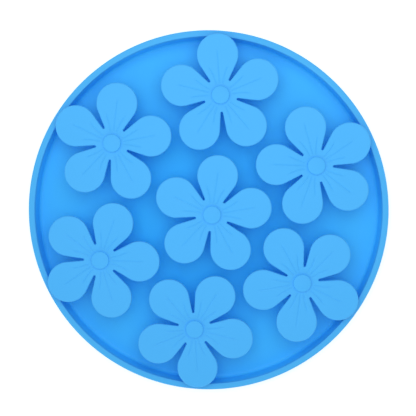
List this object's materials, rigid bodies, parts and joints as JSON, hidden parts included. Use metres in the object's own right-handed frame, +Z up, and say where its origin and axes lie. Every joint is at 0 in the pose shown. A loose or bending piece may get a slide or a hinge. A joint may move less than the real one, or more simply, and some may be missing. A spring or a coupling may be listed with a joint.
{
  "type": "lick mat",
  "caption": "Round silicone slow-feeder lick mat: a shallow rimmed tray with bending, pull-off flower heads on posts and suction cups underneath.",
  "frame": {"origin": "on the floor under the middle of the round tray, in the plane of the suction cups' lips", "axes": "+Z up, square to the tray; +X from the middle of the tray towards flower 1, so that the ring's flowers stand at every 60 degrees from +X"},
  "size_m": [0.2, 0.2, 0.0216],
  "materials": {
    "tray_silicone": "satin translucent silicone",
    "flower_silicone": "satin translucent silicone"
  },
  "bodies": {
    "tray": {"tray": "tray_silicone", "suction_cups": "tray_silicone"},
    "centre_flower": {"centre_flower_hub": "flower_silicone"},
    "centre_flower_petal_1": {"centre_flower_petal_1": "flower_silicone"},
    "centre_flower_petal_2": {"centre_flower_petal_2": "flower_silicone"},
    "centre_flower_petal_3": {"centre_flower_petal_3": "flower_silicone"},
    "centre_flower_petal_4": {"centre_flower_petal_4": "flower_silicone"},
    "centre_flower_petal_5": {"centre_flower_petal_5": "flower_silicone"},
    "flower_1": {"flower_1_hub": "flower_silicone"},
    "flower_1_petal_1": {"flower_1_petal_1": "flower_silicone"},
    "flower_1_petal_2": {"flower_1_petal_2": "flower_silicone"},
    "flower_1_petal_3": {"flower_1_petal_3": "flower_silicone"},
    "flower_1_petal_4": {"flower_1_petal_4": "flower_silicone"},
    "flower_1_petal_5": {"flower_1_petal_5": "flower_silicone"},
    "flower_2": {"flower_2_hub": "flower_silicone"},
    "flower_2_petal_1": {"flower_2_petal_1": "flower_silicone"},
    "flower_2_petal_2": {"flower_2_petal_2": "flower_silicone"},
    "flower_2_petal_3": {"flower_2_petal_3": "flower_silicone"},
    "flower_2_petal_4": {"flower_2_petal_4": "flower_silicone"},
    "flower_2_petal_5": {"flower_2_petal_5": "flower_silicone"},
    "flower_3": {"flower_3_hub": "flower_silicone"},
    "flower_3_petal_1": {"flower_3_petal_1": "flower_silicone"},
    "flower_3_petal_2": {"flower_3_petal_2": "flower_silicone"},
    "flower_3_petal_3": {"flower_3_petal_3": "flower_silicone"},
    "flower_3_petal_4": {"flower_3_petal_4": "flower_silicone"},
    "flower_3_petal_5": {"flower_3_petal_5": "flower_silicone"},
    "flower_4": {"flower_4_hub": "flower_silicone"},
    "flower_4_petal_1": {"flower_4_petal_1": "flower_silicone"},
    "flower_4_petal_2": {"flower_4_petal_2": "flower_silicone"},
    "flower_4_petal_3": {"flower_4_petal_3": "flower_silicone"},
    "flower_4_petal_4": {"flower_4_petal_4": "flower_silicone"},
    "flower_4_petal_5": {"flower_4_petal_5": "flower_silicone"},
    "flower_5": {"flower_5_hub": "flower_silicone"},
    "flower_5_petal_1": {"flower_5_petal_1": "flower_silicone"},
    "flower_5_petal_2": {"flower_5_petal_2": "flower_silicone"},
    "flower_5_petal_3": {"flower_5_petal_3": "flower_silicone"},
    "flower_5_petal_4": {"flower_5_petal_4": "flower_silicone"},
    "flower_5_petal_5": {"flower_5_petal_5": "flower_silicone"},
    "flower_6": {"flower_6_hub": "flower_silicone"},
    "flower_6_petal_1": {"flower_6_petal_1": "flower_silicone"},
    "flower_6_petal_2": {"flower_6_petal_2": "flower_silicone"},
    "flower_6_petal_3": {"flower_6_petal_3": "flower_silicone"},
    "flower_6_petal_4": {"flower_6_petal_4": "flower_silicone"},
    "flower_6_petal_5": {"flower_6_petal_5": "flower_silicone"}
  },
  "joints": [
    {"name": "centre_flower_lift", "type": "slide", "parent": "tray", "child": "centre_flower", "axis": [0, 0, 1], "range_m": [0, 0.03]},
    {"name": "centre_flower_petal_1_bend", "type": "hinge", "parent": "centre_flower", "child": "centre_flower_petal_1", "pos_m": [0.00594, 0.00458, 0.0196], "axis": [0.8508, -0.5255, 0], "range_deg": [-20, 35], "stiffness_Nm_per_rad": 0.004, "springref_deg": 2.13},
    {"name": "centre_flower_petal_2_bend", "type": "hinge", "parent": "centre_flower", "child": "centre_flower_petal_2", "pos_m": [-0.00285, 0.00392, 0.0196], "axis": [0.7627, 0.6468, 0], "range_deg": [-20, 35], "stiffness_Nm_per_rad": 0.004, "springref_deg": 2.13},
    {"name": "centre_flower_petal_3_bend", "type": "hinge", "parent": "centre_flower", "child": "centre_flower_petal_3", "pos_m": [-0.00494, -0.00465, 0.0196], "axis": [-0.3795, 0.9252, 0], "range_deg": [-20, 35], "stiffness_Nm_per_rad": 0.004, "springref_deg": 2.13},
    {"name": "centre_flower_petal_4_bend", "type": "hinge", "parent": "centre_flower", "child": "centre_flower_petal_4", "pos_m": [0.00256, -0.00928, 0.0196], "axis": [-0.9972, -0.075, 0], "range_deg": [-20, 35], "stiffness_Nm_per_rad": 0.004, "springref_deg": 2.13},
    {"name": "centre_flower_petal_5_bend", "type": "hinge", "parent": "centre_flower", "child": "centre_flower_petal_5", "pos_m": [0.00929, -0.00358, 0.0196], "axis": [-0.2368, -0.9715, 0], "range_deg": [-20, 35], "stiffness_Nm_per_rad": 0.004, "springref_deg": 2.13},
    {"name": "flower_1_lift", "type": "slide", "parent": "tray", "child": "flower_1", "axis": [0, 0, 1], "range_m": [0, 0.03]},
    {"name": "flower_1_petal_1_bend", "type": "hinge", "parent": "flower_1", "child": "flower_1_petal_1", "pos_m": [0.07217, 0.00138, 0.0196], "axis": [0.184, -0.9829, 0], "range_deg": [-5, 35], "stiffness_Nm_per_rad": 0.004, "springref_deg": 2.13},
    {"name": "flower_1_petal_2_bend", "type": "hinge", "parent": "flower_1", "child": "flower_1_petal_2", "pos_m": [0.06577, 0.00744, 0.0196], "axis": [0.9917, -0.1288, 0], "range_deg": [-20, 35], "stiffness_Nm_per_rad": 0.004, "springref_deg": 2.13},
    {"name": "flower_1_petal_3_bend", "type": "hinge", "parent": "flower_1", "child": "flower_1_petal_3", "pos_m": [0.05803, 0.00322, 0.0196], "axis": [0.4289, 0.9033, 0], "range_deg": [-20, 35], "stiffness_Nm_per_rad": 0.004, "springref_deg": 2.13},
    {"name": "flower_1_petal_4_bend", "type": "hinge", "parent": "flower_1", "child": "flower_1_petal_4", "pos_m": [0.05965, -0.00545, 0.0196], "axis": [-0.7266, 0.6871, 0], "range_deg": [-20, 35], "stiffness_Nm_per_rad": 0.004, "springref_deg": 2.13},
    {"name": "flower_1_petal_5_bend", "type": "hinge", "parent": "flower_1", "child": "flower_1_petal_5", "pos_m": [0.06839, -0.00658, 0.0196], "axis": [-0.878, -0.4787, 0], "range_deg": [-20, 35], "stiffness_Nm_per_rad": 0.004, "springref_deg": 2.13},
    {"name": "flower_2_lift", "type": "slide", "parent": "tray", "child": "flower_2", "axis": [0, 0, 1], "range_m": [0, 0.03]},
    {"name": "flower_2_petal_1_bend", "type": "hinge", "parent": "flower_2", "child": "flower_2_petal_1", "pos_m": [0.03489, 0.06319, 0.0196], "axis": [0.9432, -0.3322, 0], "range_deg": [-5, 35], "stiffness_Nm_per_rad": 0.004, "springref_deg": 2.13},
    {"name": "flower_2_petal_2_bend", "type": "hinge", "parent": "flower_2", "child": "flower_2_petal_2", "pos_m": [0.02644, 0.06067, 0.0196], "axis": [0.6074, 0.7944, 0], "range_deg": [-20, 35], "stiffness_Nm_per_rad": 0.004, "springref_deg": 2.13},
    {"name": "flower_2_petal_3_bend", "type": "hinge", "parent": "flower_2", "child": "flower_2_petal_3", "pos_m": [0.02623, 0.05186, 0.0196], "axis": [-0.5678, 0.8231, 0], "range_deg": [-20, 35], "stiffness_Nm_per_rad": 0.004, "springref_deg": 2.13},
    {"name": "flower_2_petal_4_bend", "type": "hinge", "parent": "flower_2", "child": "flower_2_petal_4", "pos_m": [0.03454, 0.04893, 0.0196], "axis": [-0.9583, -0.2857, 0], "range_deg": [-20, 35], "stiffness_Nm_per_rad": 0.004, "springref_deg": 2.13},
    {"name": "flower_2_petal_5_bend", "type": "hinge", "parent": "flower_2", "child": "flower_2_petal_5", "pos_m": [0.0399, 0.05594, 0.0196], "axis": [-0.0244, -0.9997, 0], "range_deg": [-20, 35], "stiffness_Nm_per_rad": 0.004, "springref_deg": 2.13},
    {"name": "flower_3_lift", "type": "slide", "parent": "tray", "child": "flower_3", "axis": [0, 0, 1], "range_m": [0, 0.03]},
    {"name": "flower_3_petal_1_bend", "type": "hinge", "parent": "flower_3", "child": "flower_3_petal_1", "pos_m": [-0.03728, 0.06181, 0.0196], "axis": [0.7593, 0.6508, 0], "range_deg": [-5, 35], "stiffness_Nm_per_rad": 0.004, "springref_deg": 2.13},
    {"name": "flower_3_petal_2_bend", "type": "hinge", "parent": "flower_3", "child": "flower_3_petal_2", "pos_m": [-0.03932, 0.05324, 0.0196], "axis": [-0.3843, 0.9232, 0], "range_deg": [-20, 35], "stiffness_Nm_per_rad": 0.004, "springref_deg": 2.13},
    {"name": "flower_3_petal_3_bend", "type": "hinge", "parent": "flower_3", "child": "flower_3_petal_3", "pos_m": [-0.0318, 0.04864, 0.0196], "axis": [-0.9968, -0.0802, 0], "range_deg": [-20, 35], "stiffness_Nm_per_rad": 0.004, "springref_deg": 2.13},
    {"name": "flower_3_petal_4_bend", "type": "hinge", "parent": "flower_3", "child": "flower_3_petal_4", "pos_m": [-0.0251, 0.05438, 0.0196], "axis": [-0.2317, -0.9728, 0], "range_deg": [-20, 35], "stiffness_Nm_per_rad": 0.004, "springref_deg": 2.13},
    {"name": "flower_3_petal_5_bend", "type": "hinge", "parent": "flower_3", "child": "flower_3_petal_5", "pos_m": [-0.02849, 0.06252, 0.0196], "axis": [0.8536, -0.521, 0], "range_deg": [-20, 35], "stiffness_Nm_per_rad": 0.004, "springref_deg": 2.13},
    {"name": "flower_4_lift", "type": "slide", "parent": "tray", "child": "flower_4", "axis": [0, 0, 1], "range_m": [0, 0.03]},
    {"name": "flower_4_petal_1_bend", "type": "hinge", "parent": "flower_4", "child": "flower_4_petal_1", "pos_m": [-0.07217, -0.00138, 0.0196], "axis": [-0.184, 0.9829, 0], "range_deg": [-5, 35], "stiffness_Nm_per_rad": 0.004, "springref_deg": 2.13},
    {"name": "flower_4_petal_2_bend", "type": "hinge", "parent": "flower_4", "child": "flower_4_petal_2", "pos_m": [-0.06577, -0.00744, 0.0196], "axis": [-0.9917, 0.1288, 0], "range_deg": [-20, 35], "stiffness_Nm_per_rad": 0.004, "springref_deg": 2.13},
    {"name": "flower_4_petal_3_bend", "type": "hinge", "parent": "flower_4", "child": "flower_4_petal_3", "pos_m": [-0.05803, -0.00322, 0.0196], "axis": [-0.4289, -0.9033, 0], "range_deg": [-20, 35], "stiffness_Nm_per_rad": 0.004, "springref_deg": 2.13},
    {"name": "flower_4_petal_4_bend", "type": "hinge", "parent": "flower_4", "child": "flower_4_petal_4", "pos_m": [-0.05965, 0.00545, 0.0196], "axis": [0.7266, -0.6871, 0], "range_deg": [-20, 35], "stiffness_Nm_per_rad": 0.004, "springref_deg": 2.13},
    {"name": "flower_4_petal_5_bend", "type": "hinge", "parent": "flower_4", "child": "flower_4_petal_5", "pos_m": [-0.06839, 0.00658, 0.0196], "axis": [0.878, 0.4787, 0], "range_deg": [-20, 35], "stiffness_Nm_per_rad": 0.004, "springref_deg": 2.13},
    {"name": "flower_5_lift", "type": "slide", "parent": "tray", "child": "flower_5", "axis": [0, 0, 1], "range_m": [0, 0.03]},
    {"name": "flower_5_petal_1_bend", "type": "hinge", "parent": "flower_5", "child": "flower_5_petal_1", "pos_m": [-0.03489, -0.06319, 0.0196], "axis": [-0.9432, 0.3322, 0], "range_deg": [-5, 35], "stiffness_Nm_per_rad": 0.004, "springref_deg": 2.13},
    {"name": "flower_5_petal_2_bend", "type": "hinge", "parent": "flower_5", "child": "flower_5_petal_2", "pos_m": [-0.02644, -0.06067, 0.0196], "axis": [-0.6074, -0.7944, 0], "range_deg": [-20, 35], "stiffness_Nm_per_rad": 0.004, "springref_deg": 2.13},
    {"name": "flower_5_petal_3_bend", "type": "hinge", "parent": "flower_5", "child": "flower_5_petal_3", "pos_m": [-0.02623, -0.05186, 0.0196], "axis": [0.5678, -0.8231, 0], "range_deg": [-20, 35], "stiffness_Nm_per_rad": 0.004, "springref_deg": 2.13},
    {"name": "flower_5_petal_4_bend", "type": "hinge", "parent": "flower_5", "child": "flower_5_petal_4", "pos_m": [-0.03454, -0.04893, 0.0196], "axis": [0.9583, 0.2857, 0], "range_deg": [-20, 35], "stiffness_Nm_per_rad": 0.004, "springref_deg": 2.13},
    {"name": "flower_5_petal_5_bend", "type": "hinge", "parent": "flower_5", "child": "flower_5_petal_5", "pos_m": [-0.0399, -0.05594, 0.0196], "axis": [0.0244, 0.9997, 0], "range_deg": [-20, 35], "stiffness_Nm_per_rad": 0.004, "springref_deg": 2.13},
    {"name": "flower_6_lift", "type": "slide", "parent": "tray", "child": "flower_6", "axis": [0, 0, 1], "range_m": [0, 0.03]},
    {"name": "flower_6_petal_1_bend", "type": "hinge", "parent": "flower_6", "child": "flower_6_petal_1", "pos_m": [0.03728, -0.06181, 0.0196], "axis": [-0.7593, -0.6508, 0], "range_deg": [-5, 35], "stiffness_Nm_per_rad": 0.004, "springref_deg": 2.13},
    {"name": "flower_6_petal_2_bend", "type": "hinge", "parent": "flower_6", "child": "flower_6_petal_2", "pos_m": [0.03932, -0.05324, 0.0196], "axis": [0.3843, -0.9232, 0], "range_deg": [-20, 35], "stiffness_Nm_per_rad": 0.004, "springref_deg": 2.13},
    {"name": "flower_6_petal_3_bend", "type": "hinge", "parent": "flower_6", "child": "flower_6_petal_3", "pos_m": [0.0318, -0.04864, 0.0196], "axis": [0.9968, 0.0802, 0], "range_deg": [-20, 35], "stiffness_Nm_per_rad": 0.004, "springref_deg": 2.13},
    {"name": "flower_6_petal_4_bend", "type": "hinge", "parent": "flower_6", "child": "flower_6_petal_4", "pos_m": [0.0251, -0.05438, 0.0196], "axis": [0.2317, 0.9728, 0], "range_deg": [-20, 35], "stiffness_Nm_per_rad": 0.004, "springref_deg": 2.13},
    {"name": "flower_6_petal_5_bend", "type": "hinge", "parent": "flower_6", "child": "flower_6_petal_5", "pos_m": [0.02849, -0.06252, 0.0196], "axis": [-0.8536, 0.521, 0], "range_deg": [-20, 35], "stiffness_Nm_per_rad": 0.004, "springref_deg": 2.13}
  ]
}
